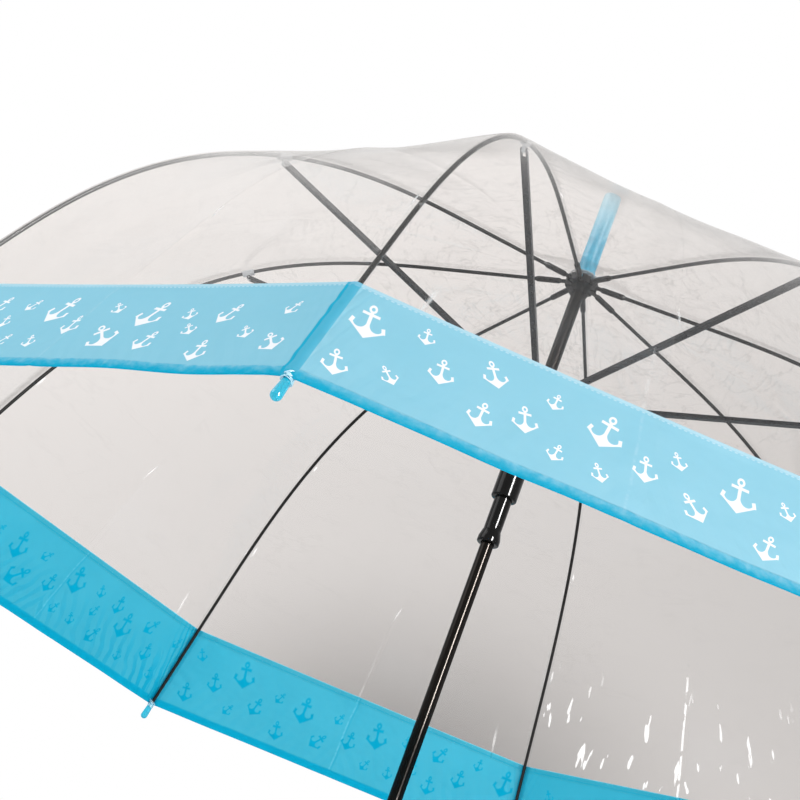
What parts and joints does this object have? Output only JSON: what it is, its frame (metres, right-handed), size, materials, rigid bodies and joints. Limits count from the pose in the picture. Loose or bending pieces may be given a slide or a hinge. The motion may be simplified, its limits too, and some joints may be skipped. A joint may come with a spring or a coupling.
{
  "type": "stick umbrella",
  "caption": "Clear dome umbrella, open, with a straight shaft, curved ribs, stretchers and a blue anchor-print band at its hem.",
  "frame": {"origin": "middle of the grip, on the shaft axis", "axes": "+Z along the shaft towards the ferrule; -Y along the first rib; +X towards the end of the bent handle"},
  "size_m": [0.9152, 0.9152, 0.854],
  "materials": {
    "clear_film": "clear glossy film",
    "blue_cloth": "plain woven cloth with a scattered anchor print",
    "blue_plastic": "glossy moulded",
    "grey_plastic": "translucent moulded",
    "black_glassfibre": "satin",
    "black_steel": "glossy paint",
    "black_plastic": "glossy moulded",
    "steel": "drawn wire"
  },
  "bodies": {
    "shaft": {"shaft_tube": "black_steel", "crown_notch": "black_plastic", "crown_wire": "steel", "canopy_rosette": "clear_film", "ferrule": "blue_plastic", "opening_spring": "steel", "handle_collar": "black_plastic", "handle_crook": "blue_plastic", "button_spring": "steel"},
    "runner": {"runner_sleeve": "black_plastic", "runner_wire": "steel"},
    "rib_frame_1": {"rib_1": "black_glassfibre", "rib_bracket_1": "grey_plastic", "rib_tip_1": "blue_plastic", "film_gore_1": "clear_film", "band_1": "blue_cloth"},
    "stretcher_arm_1": {"stretcher_1": "black_steel"},
    "rib_frame_2": {"rib_2": "black_glassfibre", "rib_bracket_2": "grey_plastic", "rib_tip_2": "blue_plastic", "film_gore_2": "clear_film", "band_2": "blue_cloth"},
    "stretcher_arm_2": {"stretcher_2": "black_steel"},
    "rib_frame_3": {"rib_3": "black_glassfibre", "rib_bracket_3": "grey_plastic", "rib_tip_3": "blue_plastic", "film_gore_3": "clear_film", "band_3": "blue_cloth"},
    "stretcher_arm_3": {"stretcher_3": "black_steel"},
    "rib_frame_4": {"rib_4": "black_glassfibre", "rib_bracket_4": "grey_plastic", "rib_tip_4": "blue_plastic", "film_gore_4": "clear_film", "band_4": "blue_cloth"},
    "stretcher_arm_4": {"stretcher_4": "black_steel"},
    "rib_frame_5": {"rib_5": "black_glassfibre", "rib_bracket_5": "grey_plastic", "rib_tip_5": "blue_plastic", "film_gore_5": "clear_film", "band_5": "blue_cloth"},
    "stretcher_arm_5": {"stretcher_5": "black_steel"},
    "rib_frame_6": {"rib_6": "black_glassfibre", "rib_bracket_6": "grey_plastic", "rib_tip_6": "blue_plastic", "film_gore_6": "clear_film", "band_6": "blue_cloth"},
    "stretcher_arm_6": {"stretcher_6": "black_steel"},
    "rib_frame_7": {"rib_7": "black_glassfibre", "rib_bracket_7": "grey_plastic", "rib_tip_7": "blue_plastic", "film_gore_7": "clear_film", "band_7": "blue_cloth"},
    "stretcher_arm_7": {"stretcher_7": "black_steel"},
    "rib_frame_8": {"rib_8": "black_glassfibre", "rib_bracket_8": "grey_plastic", "rib_tip_8": "blue_plastic", "film_gore_8": "clear_film", "band_8": "blue_cloth"},
    "stretcher_arm_8": {"stretcher_8": "black_steel"},
    "button": {"push_button": "blue_plastic"}
  },
  "joints": [
    {"name": "runner_slide", "type": "slide", "parent": "shaft", "child": "runner", "axis": [0, 0, -1], "range_m": [0, 0.3436], "stiffness_N_per_m": 60, "springref_m": -0.25, "deforming": ["opening_spring"]},
    {"name": "rib_fold_1", "type": "hinge", "parent": "shaft", "child": "rib_frame_1", "pos_m": [0, -0.01, 0.69], "axis": [1, 0, 0], "range_deg": [0, 51.5], "deforming": ["film_gore_1", "band_1"]},
    {"name": "stretcher_fold_1", "type": "hinge", "parent": "rib_frame_1", "child": "stretcher_arm_1", "pos_m": [0, -0.25205, 0.63034], "axis": [-1, 0, 0], "range_deg": [0, 106.5]},
    {"name": "rib_fold_2", "type": "hinge", "parent": "shaft", "child": "rib_frame_2", "pos_m": [-0.00707, -0.00707, 0.69], "axis": [0.7071, -0.7071, 0], "range_deg": [0, 51.5], "deforming": ["film_gore_2", "band_2"]},
    {"name": "stretcher_fold_2", "type": "hinge", "parent": "rib_frame_2", "child": "stretcher_arm_2", "pos_m": [-0.17823, -0.17823, 0.63034], "axis": [-0.7071, 0.7071, 0], "range_deg": [0, 106.5]},
    {"name": "rib_fold_3", "type": "hinge", "parent": "shaft", "child": "rib_frame_3", "pos_m": [-0.01, 0, 0.69], "axis": [0, -1, 0], "range_deg": [0, 51.5], "deforming": ["film_gore_3", "band_3"]},
    {"name": "stretcher_fold_3", "type": "hinge", "parent": "rib_frame_3", "child": "stretcher_arm_3", "pos_m": [-0.25205, 0, 0.63034], "axis": [0, 1, 0], "range_deg": [0, 106.5]},
    {"name": "rib_fold_4", "type": "hinge", "parent": "shaft", "child": "rib_frame_4", "pos_m": [-0.00707, 0.00707, 0.69], "axis": [-0.7071, -0.7071, 0], "range_deg": [0, 51.5], "deforming": ["film_gore_4", "band_4"]},
    {"name": "stretcher_fold_4", "type": "hinge", "parent": "rib_frame_4", "child": "stretcher_arm_4", "pos_m": [-0.17823, 0.17823, 0.63034], "axis": [0.7071, 0.7071, 0], "range_deg": [0, 106.5]},
    {"name": "rib_fold_5", "type": "hinge", "parent": "shaft", "child": "rib_frame_5", "pos_m": [0, 0.01, 0.69], "axis": [-1, 0, 0], "range_deg": [0, 51.5], "deforming": ["film_gore_5", "band_5"]},
    {"name": "stretcher_fold_5", "type": "hinge", "parent": "rib_frame_5", "child": "stretcher_arm_5", "pos_m": [0, 0.25205, 0.63034], "axis": [1, 0, 0], "range_deg": [0, 106.5]},
    {"name": "rib_fold_6", "type": "hinge", "parent": "shaft", "child": "rib_frame_6", "pos_m": [0.00707, 0.00707, 0.69], "axis": [-0.7071, 0.7071, 0], "range_deg": [0, 51.5], "deforming": ["film_gore_6", "band_6"]},
    {"name": "stretcher_fold_6", "type": "hinge", "parent": "rib_frame_6", "child": "stretcher_arm_6", "pos_m": [0.17823, 0.17823, 0.63034], "axis": [0.7071, -0.7071, 0], "range_deg": [0, 106.5]},
    {"name": "rib_fold_7", "type": "hinge", "parent": "shaft", "child": "rib_frame_7", "pos_m": [0.01, 0, 0.69], "axis": [0, 1, 0], "range_deg": [0, 51.5], "deforming": ["film_gore_7", "band_7"]},
    {"name": "stretcher_fold_7", "type": "hinge", "parent": "rib_frame_7", "child": "stretcher_arm_7", "pos_m": [0.25205, 0, 0.63034], "axis": [0, -1, 0], "range_deg": [0, 106.5]},
    {"name": "rib_fold_8", "type": "hinge", "parent": "shaft", "child": "rib_frame_8", "pos_m": [0.00707, -0.00707, 0.69], "axis": [0.7071, 0.7071, 0], "range_deg": [0, 51.5], "deforming": ["film_gore_8", "band_8"]},
    {"name": "stretcher_fold_8", "type": "hinge", "parent": "rib_frame_8", "child": "stretcher_arm_8", "pos_m": [0.17823, -0.17823, 0.63034], "axis": [-0.7071, -0.7071, 0], "range_deg": [0, 106.5]},
    {"name": "button_press", "type": "slide", "parent": "shaft", "child": "button", "axis": [1, 0, 0], "range_m": [0, 0.0015], "stiffness_N_per_m": 800, "springref_m": -0.001, "deforming": ["button_spring"]}
  ],
  "couplings": [
    {"joint": "rib_fold_1", "follows": "runner_slide", "rad_per_m": 2.5906},
    {"joint": "stretcher_fold_1", "follows": "runner_slide", "rad_per_m": 5.3581},
    {"joint": "rib_fold_2", "follows": "runner_slide", "rad_per_m": 2.5906},
    {"joint": "stretcher_fold_2", "follows": "runner_slide", "rad_per_m": 5.3581},
    {"joint": "rib_fold_3", "follows": "runner_slide", "rad_per_m": 2.5906},
    {"joint": "stretcher_fold_3", "follows": "runner_slide", "rad_per_m": 5.3581},
    {"joint": "rib_fold_4", "follows": "runner_slide", "rad_per_m": 2.5906},
    {"joint": "stretcher_fold_4", "follows": "runner_slide", "rad_per_m": 5.3581},
    {"joint": "rib_fold_5", "follows": "runner_slide", "rad_per_m": 2.5906},
    {"joint": "stretcher_fold_5", "follows": "runner_slide", "rad_per_m": 5.3581},
    {"joint": "rib_fold_6", "follows": "runner_slide", "rad_per_m": 2.5906},
    {"joint": "stretcher_fold_6", "follows": "runner_slide", "rad_per_m": 5.3581},
    {"joint": "rib_fold_7", "follows": "runner_slide", "rad_per_m": 2.5906},
    {"joint": "stretcher_fold_7", "follows": "runner_slide", "rad_per_m": 5.3581},
    {"joint": "rib_fold_8", "follows": "runner_slide", "rad_per_m": 2.5906},
    {"joint": "stretcher_fold_8", "follows": "runner_slide", "rad_per_m": 5.3581}
  ]
}
